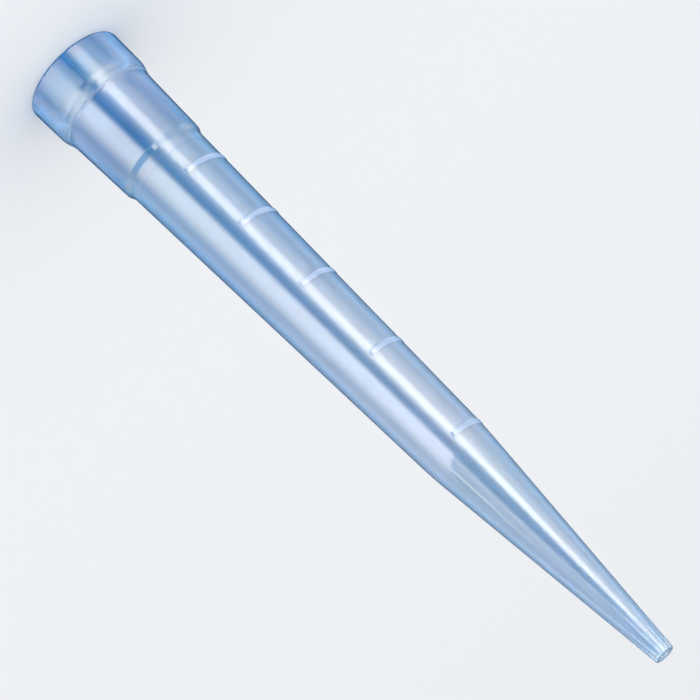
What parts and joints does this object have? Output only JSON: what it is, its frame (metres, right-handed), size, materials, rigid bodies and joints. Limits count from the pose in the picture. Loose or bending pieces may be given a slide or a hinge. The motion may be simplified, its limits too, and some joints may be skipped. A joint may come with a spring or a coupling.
{
  "type": "pipette tip",
  "caption": "Slender conical pipette tip in translucent blue plastic, with a collared socket for the nozzle, graduation bands and a fine orifice.",
  "frame": {"origin": "centre of the mouth's rim plane, which is the plane the tip stands on", "axes": "+Z runs along the tip's axis from the mouth up to the fine end; -Y is the front, and the graduations run round the -X side"},
  "size_m": [0.0094, 0.0094, 0.071],
  "materials": {
    "blue_polypropylene": "gloss"
  },
  "bodies": {
    "root": {"pipette_tip": "blue_polypropylene"}
  },
  "joints": []
}
